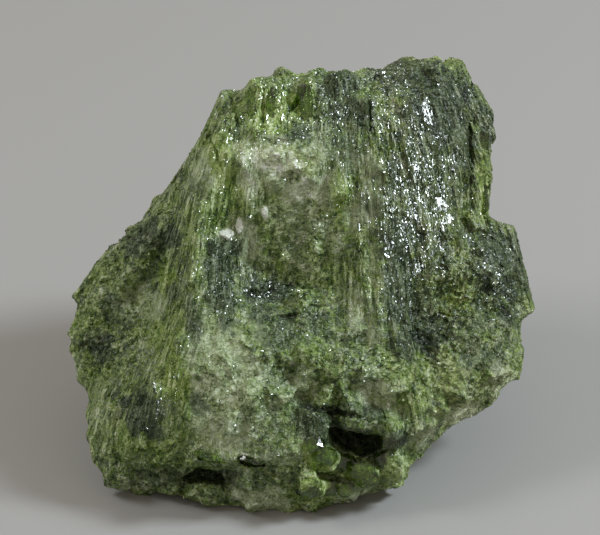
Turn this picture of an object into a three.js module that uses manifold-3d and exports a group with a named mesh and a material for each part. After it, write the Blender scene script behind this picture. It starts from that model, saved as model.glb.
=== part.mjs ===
// A rough lump of diopside: columnar green crystals grown together and broken off as one piece of stone.
// The columns fan out downwards from a point above the stone and show as ridges on the broad front face.
// Granular shoulders stand at its left and right.
// A lip overhangs the foot, with a pocket and a slot under it.
// Millimetres, +Z up. The front faces -Y. The origin is on the resting face, below the middle of the stone.
import * as THREE from "three";
import { ConvexGeometry } from "three/addons/geometries/ConvexGeometry.js";
import { mergeVertices } from "three/addons/utils/BufferGeometryUtils.js";
import Module from "manifold-3d";

// Driving dimensions
const LEAN = THREE.MathUtils.degToRad(32); // the front face leans back from upright
const STEEPER = 0.1; // how far the face rises outwards, beyond LEAN, for each millimetre up
const FAN_TOP = 83.5; // height of the columns' meeting point, measured up the front face
const FAN_ACROSS = 1.8;
const CORE = [0, 20, -8]; // middle of the stone, in face coordinates
const SKIN = 0.3; // how far the plain body lies below the crystals' faces
const COLUMN_WIDTH = 1.7;
const COLUMN_LENGTH = 9.5;
const GRAIN_LENGTH = 1.15; // length of a grain for its width
const WIDEST_GRAIN = 3.6;
const MOST_BRIDGED = 0.35; // a column stands no further than this off a hollow that it crosses
const SHORTENED = 0.4; // the share of its length that is left to a column over a deeper hollow
const REAR_SCALE = 1.9; // crystals at the back are this much larger
const FRONT_DEPTH = 10; // the back begins this far behind the foot
const DARTS = 9000; // tries at placing a crystal
const CLOSEST_LENGTHWISE = 0.42; // the nearest two crystals' middles may be, as shares of their sizes
const CLOSEST_SIDEWAYS = 0.38;
const HOLLOW_MOUTH = 9; // hollows are cut from this far in front of the face's middle
const HOLLOW_TAPER = 0.85; // the width of a hollow's inner end, as a share of its opening
const LUMP_CORNERS = 16;
const GOLDEN_ANGLE = 2.4; // spreads a lump's corners evenly, in radians
const FINEST = 0.12; // detail smaller than this is left out
const SHORTEST = 0.005; // edges shorter than this are closed up
const COLOUR = 0x5b6b3a;

// Face coordinates are across, up the leaning front face, and out of it towards the viewer.
const ACROSS = new THREE.Vector3(1, 0, 0);
const OUT = new THREE.Vector3(0, -Math.cos(LEAN), Math.sin(LEAN));
const SQUARE_UP = new THREE.Vector3(0, Math.sin(LEAN), Math.cos(LEAN));
const UP = SQUARE_UP.clone().addScaledVector(OUT, STEEPER);

function onFace([across, up, out]) {
  return new THREE.Vector3()
    .addScaledVector(ACROSS, across)
    .addScaledVector(UP, up)
    .addScaledVector(OUT, out);
}

// Corners of the stone's broad facets that the front shows, in face coordinates
const FRONT = {
  topEdge: [
    [-8.3, 40.3, -2.5], [-5.5, 42.2, -2], [-2.5, 42.9, -2.5], [2, 43.7, -3], [6, 43.5, -3],
    [9.5, 44.2, -3], [13, 44.9, -3.5], [16.2, 43.6, -4.5], [18.3, 41.8, -5.5],
  ],
  rightEdge: [
    [19.5, 39.5, -6], [19.6, 35.5, -7], [19.3, 31.5, -7], [18.8, 28.9, -7.5], [20.8, 27.5, -8],
    [22.1, 26, -8], [22.9, 21, -8], [22.9, 17, -7], [22.3, 12.6, -5], [18.4, 9.3, -3.5],
    [14.3, 6.6, -2], [11.5, 5, 0],
  ],
  foot: [
    [10.2, 2.6, 0.4], [8.2, 1.4, -0.8], [4.4, 0, -0.2], [2, -0.7, 1.1], [-1, -0.8, 1.3],
    [-6, -0.5, 0.9], [-9, -0.3, 0.4], [-12, 0.5, -0.2], [-18.8, 1.5, -1.2], [-21.3, 4, -1],
  ],
  leftEdge: [
    [-21.6, 6.5, -1.5], [-21.7, 10.5, -3.5], [-23.1, 13.5, -5], [-23.5, 17, -6], [-22.8, 21.5, -7],
    [-21.2, 24.4, -7], [-18.5, 26.6, -7], [-15.6, 28.4, -7], [-13.3, 31, -6.5], [-11.4, 33.5, -6],
    [-10.1, 36.2, -5], [-9.2, 38.9, -4],
  ],
  crown: [
    [-5, 40, 0.4], [0.5, 40.8, -0.2], [5, 40.8, 0.6], [10, 41.8, 0], [14, 42, -1.5], [17, 39, -3],
  ],
  brow: [[-6.5, 34, 2], [-1.5, 35.6, 2.6], [3.5, 35, 2.4], [6, 33, 2]],
  leftRidge: [
    [-8.5, 37, 0.6], [-9.3, 32, 1.6], [-10, 27, 2.4], [-10.5, 22, 3.2], [-12, 16, 3.8],
    [-14.5, 11, 3.8], [-17.5, 6.8, 2.4],
  ],
  ridgeFlank: [[-7.2, 30, 1], [-7.4, 25, 0.8]],
  leftValley: [
    [-11.8, 32, -2.6], [-12.8, 28, -3.6], [-13.6, 24.5, -3.8], [-14.6, 21, -3.2], [-16, 17.5, -2.4],
    [-17.5, 14, -1.2],
  ],
  leftShoulder: [
    [-17, 25.5, -4.6], [-20, 23, -5], [-21, 19, -4], [-20.8, 15.5, -3], [-20, 11.5, -1.4],
  ],
  middle: [
    [-5, 29.5, 1.2], [0, 28.5, 1.2], [5, 27, 1.6], [-4.5, 23.5, -0.4], [-1, 22, -0.4],
    [3, 21.5, 1.4],
  ],
  paleBulge: [
    [-6, 19, 3], [-2.2, 19.2, 2.6], [-7, 15.5, 5], [-3.2, 15.5, 5.4], [-8.5, 11.5, 6],
    [-4, 11.5, 6.2], [-10.5, 8, 5.4], [-5, 7.6, 6.4], [-1, 8.5, 5.4],
  ],
  sheenFacet: [
    [8, 38, 1.6], [8.5, 33, 2.4], [9, 28, 2.8], [8.8, 23, 2.8], [12, 38, 1], [12.5, 33, 1.2],
    [12.6, 28, 1], [12, 23.5, 0.6], [16, 37, -1.6], [16.4, 32, -2], [16, 28.5, -2.2],
  ],
  rightGroove: [[17.3, 38, -4.4], [17.5, 34, -5.2], [17.4, 30, -5.4]],
  rightColumn: [[18.7, 37.5, -4], [18.9, 33.5, -4.4], [18.6, 30, -5]],
  rightShoulder: [
    [17.5, 27, -4.8], [20, 26.3, -4], [21.6, 23, -4.4], [19, 23, -2], [17, 20, -2.2], [13.5, 21, -1.4],
  ],
  rightHollow: [[11.5, 20, -0.8], [13.5, 18.5, -1.4], [11, 17.2, 0.8]],
  rightSlab: [
    [21.5, 18.7, -4], [18, 17.3, -0.4], [14.5, 15.8, 0.8], [20, 15, -1.4], [16.5, 13.5, 1.4],
    [18.5, 11, -1], [14, 10, 2],
  ],
  lowerRight: [[9.5, 16, 3], [5, 17.5, 2.6], [5.5, 14, 4.2], [9.5, 12.5, 4.2], [3.5, 12.8, 4.6]],
  lowerHollow: [[0.5, 11, 3.2], [4, 10.2, 2.6], [7, 10.6, 3]],
  lowerSill: [[2, 8.2, 5.2], [8, 8.7, 4.6], [12, 8.5, 2.6]],
  lip: [
    [-17, 5, 2.2], [-12.5, 5.3, 4], [-6.5, 4.5, 5.6], [-1, 4.6, 5.4], [2.5, 6.5, 5.2], [6, 7.7, 5],
    [10, 6.5, 3.4],
  ],
  underLip: [
    [-16, 3.2, 0.6], [-12, 2.9, 1.4], [-8.5, 3.4, 1.8], [-5, 2.9, 3.2], [-1.5, 3, 3.8], [3.5, 5, 2.2],
    [7, 5.5, 1.8],
  ],
  footSteps: [
    [-14, 1.9, 0.4], [-10, 1.5, 1.8], [-6, 1.2, 2.6], [-3, 0.8, 2.6], [1.5, 1.6, 3.2], [5, 2.2, 3],
    [9, 3.4, 2.6],
  ],
};

// Corners of the hidden facets, in millimetres from the origin
const REAR = {
  upperBack: [[-7, 29, 28.5], [2, 31, 31], [9, 32, 31.5], [15, 30.5, 29]],
  middleBack: [[-13, 27, 21], [-6, 32, 21], [4, 34, 23], [12, 33, 21], [18, 28, 19]],
  lowerBack: [[-19, 24, 11], [-11, 30, 10], [0, 33, 12], [11, 31, 9], [19, 25, 10]],
  heel: [[-15, 20, 2], [-6, 25, -1], [4, 26, -1], [12, 22, 1.5]],
  rest: [[-11, 12, -1.5], [0, 13, -1.5], [9, 12, -1.2], [-7, 3, -1], [3, 3, -1]],
  underSides: [[14, 14, 3], [18, 16, 6], [-18, 12, 2], [-20.5, 16, 6]],
};

// Hollows in the lower front: the outline of the opening in face coordinates, then how far in each one goes
const POCKET = { opening: [[2.4, 8.1], [8.7, 6.9], [8.3, 5.6], [6.1, 4.6], [3.2, 6.4]], floor: -2 };
const SLOT = { opening: [[-12.4, 2.6], [-10.3, 3.8], [-7.4, 3.1], [-7.3, 2.2], [-10.5, 2.1]], floor: -1 };
const CRACKS = [
  { opening: [[-10.6, 5.4], [-8, 4.9], [-7.7, 4.4], [-10, 4.7]], floor: 2.4 },
  { opening: [[-6.4, 5.1], [-3.4, 4.4], [-3, 3.8], [-6, 4.3]], floor: 2.8 },
  { opening: [[1.4, 3.7], [7.4, 2], [7.3, 1.5], [1.6, 2.9]], floor: 1.6 },
];

// The step between the right column and the right shoulder, cut straight back
const NOTCH = {
  opening: [[19.9, 37], [19.5, 31.5], [19, 28.9], [20.6, 28.2], [24, 28], [24, 37]],
  floor: -14,
  taper: 1,
};

// Stubby crystals round the pocket: middle in face coordinates, half sizes, and turn in degrees
const LUMPS = [
  { middle: [2.4, 4.9, 3.5], half: [2, 1.7, 1.9], turn: -25 },
  { middle: [9.5, 3.9, 2], half: [1.6, 2, 1.7], turn: 15 },
  { middle: [6.3, 3.5, 2.6], half: [2, 1.2, 1.6], turn: -20 },
  { middle: [1.4, 2, 3], half: [1.7, 1.2, 1.4], turn: -10 },
  { middle: [4.8, 1.5, 2.6], half: [1, 0.9, 1.2], turn: 10 },
];

// Granular areas in face coordinates: middle across and up, radius, and the width of the grains
const GRANULAR = [
  [-20, 18, 7, 2.4], [-17, 25, 4.5, 2.2], [17, 20, 7, 2.2], [17, 13, 7, 3.4], [-2, 1, 7, 2.4],
  [-12, 2, 7, 2.6], [8, 1, 7, 2.8], [13, 43.5, 3, 2], [-5.5, 12, 7, 3.2], [-1, 34.4, 3.6, 2.2],
  [1, 21, 4, 2.3], [5, 12.5, 7, 2.7],
];
const PLAIN_GRAIN = 2.6; // the grains' width elsewhere

// Repeatable random numbers from 0 to 1
let state = 46;
function random() {
  state = (state + 0x6d2b79f5) | 0;
  let t = Math.imul(state ^ (state >>> 15), 1 | state);
  t = (t + Math.imul(t ^ (t >>> 7), 61 | t)) ^ t;
  return ((t ^ (t >>> 14)) >>> 0) / 4294967296;
}

function between(low, high) {
  return low + (high - low) * random();
}

const core = onFace(CORE);

// The broad facets: the corners joined by flat triangles, as in the hull of their directions from the core
function broadFacets() {
  const corners = [
    ...Object.values(FRONT).flat().map(onFace),
    ...Object.values(REAR).flat().map((p) => new THREE.Vector3(...p)),
  ];
  const directions = corners.map((p) => p.clone().sub(core).normalize());
  const hull = new ConvexGeometry(directions).getAttribute("position");
  const cornerAt = (i) => {
    const spot = new THREE.Vector3().fromBufferAttribute(hull, i);
    const gaps = directions.map((d) => d.distanceToSquared(spot));
    return corners[gaps.indexOf(Math.min(...gaps))];
  };
  const facets = [];
  for (let i = 0; i < hull.count; i += 3) {
    facets.push(new THREE.Triangle(cornerAt(i), cornerAt(i + 1), cornerAt(i + 2)));
  }
  return facets;
}

const facets = broadFacets();

// The point of the broad facets that lies straight below a point, seen along a normal, or null
function settle(point, normal) {
  const ray = new THREE.Ray(point.clone().addScaledVector(normal, 2.5), normal.clone().negate());
  let nearest = null;
  for (const { a, b, c } of facets) {
    const hit = ray.intersectTriangle(a, b, c, true, new THREE.Vector3());
    if (hit && (!nearest || hit.distanceTo(ray.origin) < nearest.distanceTo(ray.origin))) nearest = hit;
  }
  return nearest && nearest.distanceTo(ray.origin) < 5 ? nearest : null;
}

// How granular a place is, from 0 to 1, and how wide its grains are
function granular(across, up) {
  const shares = GRANULAR.map(([x, y, radius]) => 1 - Math.hypot(across - x, up - y) / radius);
  const most = Math.max(...shares);
  return {
    share: THREE.MathUtils.smoothstep(most, 0, 0.4),
    width: most > 0 ? GRANULAR[shares.indexOf(most)][3] : PLAIN_GRAIN,
  };
}

// The kind of crystal that grows at a point of a facet: its size, and whether it is a grain or a column
function kindAt(place, normal) {
  const { share, width: grainWidth } = granular(place.dot(ACROSS), place.dot(SQUARE_UP));
  const axis = place.clone().sub(onFace([FAN_ACROSS, FAN_TOP, 0])).normalize();
  const endOn = THREE.MathUtils.smoothstep(Math.abs(axis.dot(normal)), 0.45, 0.8);
  const grain = random() < Math.max(share, endOn);
  const hidden = place.y > FRONT_DEPTH && normal.dot(OUT) < -0.1;
  const scale = (hidden ? REAR_SCALE : 1) * between(0.75, 1.3);
  const width = grain ? Math.min(grainWidth * scale, WIDEST_GRAIN) : COLUMN_WIDTH * scale;
  return {
    grain,
    along: axis.addScaledVector(normal, -axis.dot(normal)).normalize(),
    width,
    length: (grain ? GRAIN_LENGTH * width : COLUMN_LENGTH * scale) * between(0.8, 1.3),
  };
}

// Random places on the facets, no two closer than the crystals are wide and long
function seeds() {
  const areas = facets.map((f) => f.getArea());
  const total = areas.reduce((sum, area) => sum + area, 0);
  const kept = [];
  for (let dart = 0; dart < DARTS; dart++) {
    let pick = random() * total;
    const i = areas.findIndex((area) => (pick -= area) < 0);
    const facet = facets[Math.max(i, 0)];
    const [s, t] = [Math.sqrt(random()), random()];
    const place = facet.a.clone().multiplyScalar(1 - s)
      .addScaledVector(facet.b, s * (1 - t))
      .addScaledVector(facet.c, s * t);
    const normal = facet.getNormal(new THREE.Vector3());
    const kind = kindAt(place, normal);
    const crowded = kept.some((other) => {
      const gap = place.clone().sub(other.place);
      const lengthwise = gap.dot(kind.along);
      const sideways = Math.sqrt(Math.max(0, gap.lengthSq() - lengthwise * lengthwise));
      const ownLength = CLOSEST_LENGTHWISE * (kind.length + other.kind.length);
      const ownWidth = CLOSEST_SIDEWAYS * (kind.width + other.kind.width);
      return Math.hypot(lengthwise / ownLength, sideways / ownWidth) < 1;
    });
    if (!crowded) kept.push({ place, normal, kind });
  }
  return kept;
}

const wasm = await Module();
wasm.setup();

function solid(geometry) {
  const bare = geometry.clone();
  bare.deleteAttribute("normal");
  bare.deleteAttribute("uv");
  const merged = mergeVertices(bare, 1e-4);
  return new wasm.Manifold(
    new wasm.Mesh({
      numProp: 3,
      vertProperties: new Float32Array(merged.getAttribute("position").array),
      triVerts: new Uint32Array(merged.index.array),
    }),
  );
}

function hull(points) {
  return solid(new ConvexGeometry(points));
}

function geometryOf(manifold) {
  const { vertProperties, triVerts } = manifold.getMesh();
  const geometry = new THREE.BufferGeometry();
  geometry.setAttribute("position", new THREE.BufferAttribute(vertProperties, 3));
  geometry.setIndex(new THREE.BufferAttribute(triVerts, 1));
  return geometry;
}

// The body under the crystals: the broad facets moved in towards the core
function body() {
  const inner = (p) => {
    const ray = p.clone().sub(core);
    return core.clone().add(ray.setLength(ray.length() - SKIN));
  };
  const points = facets.flatMap(({ a, b, c }) => [a, b, c].map(inner));
  return solid(new THREE.BufferGeometry().setFromPoints(points));
}

// A six-sided prism between two points, its broad faces outwards and its ends broken aslant
function prism(from, to, normal, width, depth) {
  const side = new THREE.Vector3().crossVectors(to.clone().sub(from), normal).normalize();
  const outwards = new THREE.Vector3().crossVectors(side, to.clone().sub(from)).normalize();
  const ahead = to.clone().sub(from).normalize();
  const lean = between(-0.25, 0.25) * width;
  const section = [
    [-0.5, -0.3], [-0.32, 0.08 + lean * 0.1], [0.12, 0.14], [0.5, -0.12], [0.4, -depth], [-0.4, -depth],
  ];
  const points = [];
  for (const [end, sign] of [[from, -1], [to, 1]]) {
    const aslant = between(-0.5, 0.5);
    const steep = between(0, 0.6);
    for (const [x, y] of section) {
      const point = end.clone()
        .addScaledVector(side, x * width)
        .addScaledVector(outwards, y * width)
        .addScaledVector(ahead, sign * width * (x * aslant - y * steep));
      points.push(point);
    }
  }
  return hull(points);
}

// The ends of a column that follows the stone's surface, and how far its middle stands off the surface
function endsOf({ place, normal, kind }, length) {
  const [above, below] = [-0.5, 0.5].map((share) => {
    const end = place.clone().addScaledVector(kind.along, share * length);
    return settle(end, normal) ?? place.clone().addScaledVector(kind.along, 0.2 * share * length);
  });
  return { above, below, rise: above.clone().lerp(below, 0.5).sub(place).dot(normal) };
}

// A column that follows the stone's surface
function column(seed) {
  const { normal, kind } = seed;
  const full = endsOf(seed, kind.length);
  const { above, below, rise } = full.rise > MOST_BRIDGED ? endsOf(seed, SHORTENED * kind.length) : full;
  const lift = between(-0.3, 0.05) + 0.8 * Math.max(0, -rise);
  above.addScaledVector(normal, lift + between(-0.15, 0.15));
  below.addScaledVector(normal, lift + between(-0.15, 0.15));
  return prism(above, below, normal, kind.width, 0.9);
}

// A grain that lies at any angle, about half of it buried
function grain({ place, normal, kind }) {
  const tip = new THREE.Vector3(between(-1, 1), between(-1, 1), between(-1, 1));
  const along = kind.along.clone().addScaledVector(tip, 0.55).normalize();
  const middle = place.clone().addScaledVector(normal, -0.16 * kind.width);
  const half = along.clone().multiplyScalar(0.42 * kind.length);
  const face = normal.clone().addScaledVector(tip.cross(along), 0.35).normalize();
  return prism(middle.clone().sub(half), middle.clone().add(half), face, kind.width, 0.7);
}

// Everything below the floor, which leaves the flat resting face
function belowFloor() {
  return solid(new THREE.BoxGeometry(80, 80, 10).translate(0, 0, -5));
}

// A wedge with its opening on the front face, as a rule narrower at its inner end
function hollow({ opening, floor, taper = HOLLOW_TAPER }) {
  const corners = opening.map(([x, y]) => new THREE.Vector2(x, y));
  const middle = new THREE.Box2().setFromPoints(corners).getCenter(new THREE.Vector2());
  const inner = corners.map((corner) => middle.clone().lerp(corner, taper));
  const mouth = corners.map(({ x, y }) => onFace([x, y, HOLLOW_MOUTH]));
  return hull([...mouth, ...inner.map(({ x, y }) => onFace([x, y, floor]))]);
}

// A stubby crystal: the hull of points spread over an ellipsoid
function lump({ middle, half, turn }) {
  const spun = new THREE.Matrix4().makeRotationZ(THREE.MathUtils.degToRad(turn));
  const points = [];
  for (let i = 0; i < LUMP_CORNERS; i++) {
    const out = 1 - (2 * i + 1) / LUMP_CORNERS;
    const ring = Math.sqrt(1 - out * out);
    const angle = i * GOLDEN_ANGLE + between(-0.3, 0.3);
    const spot = new THREE.Vector3(ring * Math.cos(angle), ring * Math.sin(angle), out);
    spot.multiply(new THREE.Vector3(...half)).applyMatrix4(spun).add(new THREE.Vector3(...middle));
    points.push(onFace(spot.toArray()));
  }
  return hull(points);
}

function wholeStone() {
  const crystals = seeds().map((seed) => (seed.kind.grain ? grain(seed) : column(seed)));
  return wasm.Manifold.union([body(), ...crystals])
    .subtract(wasm.Manifold.union([POCKET, SLOT, NOTCH].map(hollow)))
    .add(wasm.Manifold.union(LUMPS.map(lump)))
    .subtract(wasm.Manifold.union(CRACKS.map(hollow)));
}

// The outer surface alone, without the small gaps that crystals close off inside
function withoutGaps(manifold) {
  return manifold.decompose().reduce((best, piece) => (piece.volume() > best.volume() ? piece : best));
}

// The stone's surface, moved so that the origin is below the middle of its bounding box
function centred(geometry) {
  geometry.computeBoundingBox();
  const { min, max } = geometry.boundingBox;
  geometry.translate(-(min.x + max.x) / 2, -(min.y + max.y) / 2, -min.z);
  geometry.computeVertexNormals();
  return geometry;
}

const uncut = wholeStone().asOriginal().simplify(FINEST);
const stone = withoutGaps(uncut.subtract(belowFloor()).simplify(SHORTEST));

const diopside = new THREE.Mesh(
  centred(geometryOf(stone)),
  new THREE.MeshStandardMaterial({ color: COLOUR, roughness: 0.45, metalness: 0, flatShading: true }),
);
diopside.name = "diopside";

const specimen = new THREE.Group();
specimen.add(diopside);
export default specimen;
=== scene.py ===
"""The looks of a rough diopside specimen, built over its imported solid.

The solid gives the form. Here its surface is refined, covered with fine crystals, coloured and lit.
Lengths are in millimetres until a mesh is made, which is in metres.
"""
import math
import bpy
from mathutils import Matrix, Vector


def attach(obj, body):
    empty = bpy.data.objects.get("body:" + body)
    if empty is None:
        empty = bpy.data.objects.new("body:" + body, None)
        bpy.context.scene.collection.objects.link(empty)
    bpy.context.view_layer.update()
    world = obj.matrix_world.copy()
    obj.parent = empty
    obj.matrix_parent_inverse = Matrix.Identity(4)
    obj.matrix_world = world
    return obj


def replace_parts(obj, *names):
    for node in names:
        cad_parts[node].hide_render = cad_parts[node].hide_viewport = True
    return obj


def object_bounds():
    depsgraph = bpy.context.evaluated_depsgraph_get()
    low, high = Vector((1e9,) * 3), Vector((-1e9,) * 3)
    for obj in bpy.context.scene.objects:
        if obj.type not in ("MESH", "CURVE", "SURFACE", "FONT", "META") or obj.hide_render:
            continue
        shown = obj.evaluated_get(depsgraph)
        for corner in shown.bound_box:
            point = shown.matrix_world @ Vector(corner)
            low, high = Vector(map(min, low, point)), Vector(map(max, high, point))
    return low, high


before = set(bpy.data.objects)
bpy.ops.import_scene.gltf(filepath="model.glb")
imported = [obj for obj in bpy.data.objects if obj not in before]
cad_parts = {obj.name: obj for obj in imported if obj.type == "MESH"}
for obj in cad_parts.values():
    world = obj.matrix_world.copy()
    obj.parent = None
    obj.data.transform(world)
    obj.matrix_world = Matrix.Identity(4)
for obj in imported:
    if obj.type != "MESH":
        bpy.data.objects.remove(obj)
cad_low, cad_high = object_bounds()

from types import SimpleNamespace

import bmesh
import bpy
import numpy as np
from mathutils import Vector
from mathutils.bvhtree import BVHTree

MM = 0.001
SEED = 7
TINY = 1e-9

# The broad front face, as the solid has it: how far back it leans, a slope that makes it a little steeper,
# and where its foot is
LEAN = math.radians(32)
STEEPER = 0.1
SHIFT = np.array([-0.2089, -15.6558, 0.0])
ACROSS = np.array([1.0, 0.0, 0.0])
SQUARE_UP = np.array([0.0, math.sin(LEAN), math.cos(LEAN)])
OUT = np.array([0.0, -math.cos(LEAN), math.sin(LEAN)])
UP = SQUARE_UP + STEEPER * OUT
# The patches and the narrow gaps fade away between these two distances, which are behind the face
FACE_FADE = (-9, -6)
# In half sizes from its middle, where a patch or a gap ends and where it has its full strength
PATCH_EDGE = (1.3, 0.5)
GROOVE_EDGE = (1.25, 0.4)
GROOVE_WAVER = 0.4

# The columns fan out from a point above the stone. Angles round it become lengths at this distance from it.
FAN_ACROSS = 1.8
FAN_TOP = 83.5
FAN_REACH = 60

# The skin: the mesh size, and how often its points are eased where it is granular, where it is columnar and,
# from there on, for the broad form. It is sunk a little, to make room for the relief.
SKIN_VOXEL = 0.155
GRAIN_EASE = 8
COLUMN_EASE = 26
BROAD_EASE = 60
SKIN_SINK = 0.1
# Points lower than the first stay flat, and the relief has its full height above the second
RESTING = 0.02
FULL_RELIEF = 0.8

# Layers of smooth noise: strength, waves in a millimetre, and seed. Where there are three numbers of waves
# or cells, the first two are across the columns and the third is along them.
PATCH_RAGS = [(0.4, 0.7, 61), (0.3, 1.9, 62)]
GROOVE_RAGS = [(0.25, 1.3, 18), (0.2, 3.0, 19)]
FLUTES = [(1.0, (1.5, 1.5, 0.15), 11), (0.6, (3.2, 3.2, 0.3), 12)]
SWELLS = [(0.06, 0.9, 17)]
WARP_WAVES = 0.9
WARP_SEEDS = (14, 15, 16)

# Cell patterns of the relief: cells in a millimetre, how many cells the warp moves them, and seed
STRIPS = ((1.0, 1.0, 0.16), 0.3, 21)
SLIVERS = ((2.6, 2.6, 0.45), 0.4, 22)
LUMPS = (0.6, 0.5, 31)
GRAINS = (1.5, 0.9, 41)
CRUMBS = (3.0, 0.0, 51)
# The flat faces of the cells: height and slope
STRIP_FACE = (0.05, 1.2)
SLIVER_FACE = (0.05, 1.4)
LUMP_FACE = (0.14, 1.8)
GRAIN_FACE = (0.115, 1.8)
FAINT_GRAIN_FACE = (0.03, 1.4)
CRUMB_FACE = (0.06, 1.6)
FLUTE_HEIGHT = 0.04
# Some strips are parted from their neighbours by a gap, whose width is in cells
GAP_SHARE = 0.25
GAP_WIDTH = 0.12
GAP_DEPTH = 0.14
# Chalk evens the relief, and the whitest chalk stands out as grains
CHALK_EVENS = 0.5
WHITE_GRAINS = (1.4, 1.8)
WHITE_HEIGHT = 0.25

# Small crystals: how many, and their usual width and length
FINE_COUNT = 9000
FINE_SIZE = (0.11, 0.6)
COARSE_COUNT = 3500
COARSE_SIZE = (0.17, 1.1)
# They are short ones where the skin cuts across the columns or turns away from the front, and where it is
# granular. Long ones are a little out of line, short ones tilt out of the skin, and all roll a little.
CUTS_ACROSS = 0.4
TURNS_AWAY = 0.5
OUT_OF_LINE = 0.04
SHORT_TILT = 0.15
ROLL = 0.15
# How much their sizes differ, how much wider the short ones are, and length and depth as shares of the width
SIZES_DIFFER = 0.35
SHORT_WIDER = 1.6
SHORT_LENGTH = (0.7, 1.4)
DEPTH = (0.6, 1.0)
# The jitter of their corners, the size of the outer face, and the share of the depth that they are sunk
CORNER_JITTER = 0.14
OUTER_FACE = (0.6, 1.0)
SHORT_SINK = (0.3, 0.55)
LONG_SINK = (0.42, 0.54)
# The height in the relief that their colour goes by, and how far their ends may stand off the skin
CRYSTAL_HEIGHT = (0.45, 0.75)
STAND_OFF = 0.12
# They begin at the first height above the ground, and are as many as elsewhere from the second. Those of the
# front are where the cosine between the skin's direction and the front's is in the second range or above.
OFF_GROUND = (0.3, 1.2)
FACING_FRONT = (0.3, 0.6)

# Patches on the front face: middle across and up, half sizes, turn in degrees and strength. A strength above
# 1 makes a pale patch whiter, a bright one lighter and a dark one more solid.
# Pale patches are chalk-white stone, and painted light where they lift places that the form leaves in shade,
# above all under the brow and in the centre of the face.
PALE_AND_PAINTED_LIGHT = [
    (-7.4, 14.6, 4.0, 6.0, 0, 0.88),
    (-17.6, 20.6, 1.8, 2.4, 0, 0.4),
    (-3.6, 10.6, 3.2, 4.0, 0, 0.5),
    (-7.6, 7.6, 3.6, 2.6, 0, 0.9),
    (5.8, 1.6, 2.2, 1.0, 0, 0.9),
    (7.0, 24.6, 0.9, 1.6, 0, 0.5),
    (-12.9, 21.4, 1.2, 1.2, 0, 0.5),
    (-0.4, 6.6, 1.2, 1.0, 0, 0.4),
    (-1.0, 34.7, 6.4, 2.0, -6, 1.0),
    (-0.4, 41.8, 1.4, 0.9, 0, 0.6),
    (-5.2, 35.2, 2.2, 1.4, -6, 0.8),
    (2.4, 36.6, 1.2, 1.2, 0, 0.6),
    (-2.6, 34.2, 3.8, 1.8, 0, 1.35),
    (-0.2, 31.8, 1.8, 1.6, 0, 1.3),
    (-2.6, 32.4, 3.0, 1.6, 0, 0.9),
    (-5.2, 32.0, 1.8, 1.8, 0, 1.15),
    (-0.8, 28.8, 3.6, 3.0, 0, 0.6),
    (-0.2, 24.4, 1.6, 1.8, 0, 0.5),
    (0.4, 12.2, 2.0, 1.5, 0, 0.75),
    (-4.5, 31.5, 3.0, 2.0, 0, 0.5),
    (2.9, 31.5, 1.4, 3.6, 4, 0.75),
    (1.4, 31.8, 1.6, 1.4, 0, 1.1),
    (4.9, 29.0, 1.3, 1.5, 0, 0.9),
    (7.0, 32.3, 1.2, 3.8, 4, 0.85),
    (3.4, 27.6, 1.6, 2.4, 0, 0.5),
    (15.6, 12.0, 3.6, 2.8, -10, 0.4),
    (20.2, 12.2, 1.4, 2.4, 0, 0.9),
    (16.2, 9.2, 2.8, 1.4, 0, 1.0),
    (9.9, 9.4, 1.2, 1.0, 0, 0.6),
    (17.5, 13.2, 4.6, 3.2, -10, 0.2),
    (-4.0, 5.4, 8.0, 1.0, -4, 0.55),
    (-6.2, 5.5, 4.6, 0.25, -14, 1.1),
    (-3.6, 0.7, 3.2, 1.4, 0, 0.9),
    (2.9, 2.8, 3.0, 0.35, -13, 0.9),
    (3.4, 4.5, 2.2, 0.5, -31, 0.8),
    (-7.3, 27.1, 0.9, 0.5, 0, 1.9),
    (-6.0, 27.9, 0.45, 0.75, 0, 1.9),
    (-3.5, 29.2, 0.4, 0.7, 0, 1.9),
    (-3.5, 29.3, 1.2, 0.6, -10, 0.9),
    (5.8, 19.4, 1.8, 3.4, 0, 0.5),
    (4.6, 16.5, 2.2, 1.8, 0, 0.2),
    (7.3, 16.9, 1.2, 1.3, 0, 0.8),
    (7.6, 11.6, 2.6, 2.0, 0, 1.0),
    (-5.2, 26.8, 1.6, 2.2, 0, 0.9),
    (-9.0, 33.6, 2.6, 2.2, -30, 0.8),
    (-12.6, 9.4, 1.0, 1.6, 18, 0.5),
    (-5.4, 41.6, 1.2, 1.2, 0, 0.6),
    (12.2, 6.9, 1.6, 1.6, 0, 0.7),
    (9.6, 3.4, 2.0, 2.0, 0, 0.75),
    (-9.5, 8.5, 2.4, 2.8, 0, 0.7),
    (-16.0, 20.0, 3.2, 1.9, 0, 0.65),
    (-20.6, 10.0, 1.4, 5.0, 10, 0.4),
]
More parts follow.
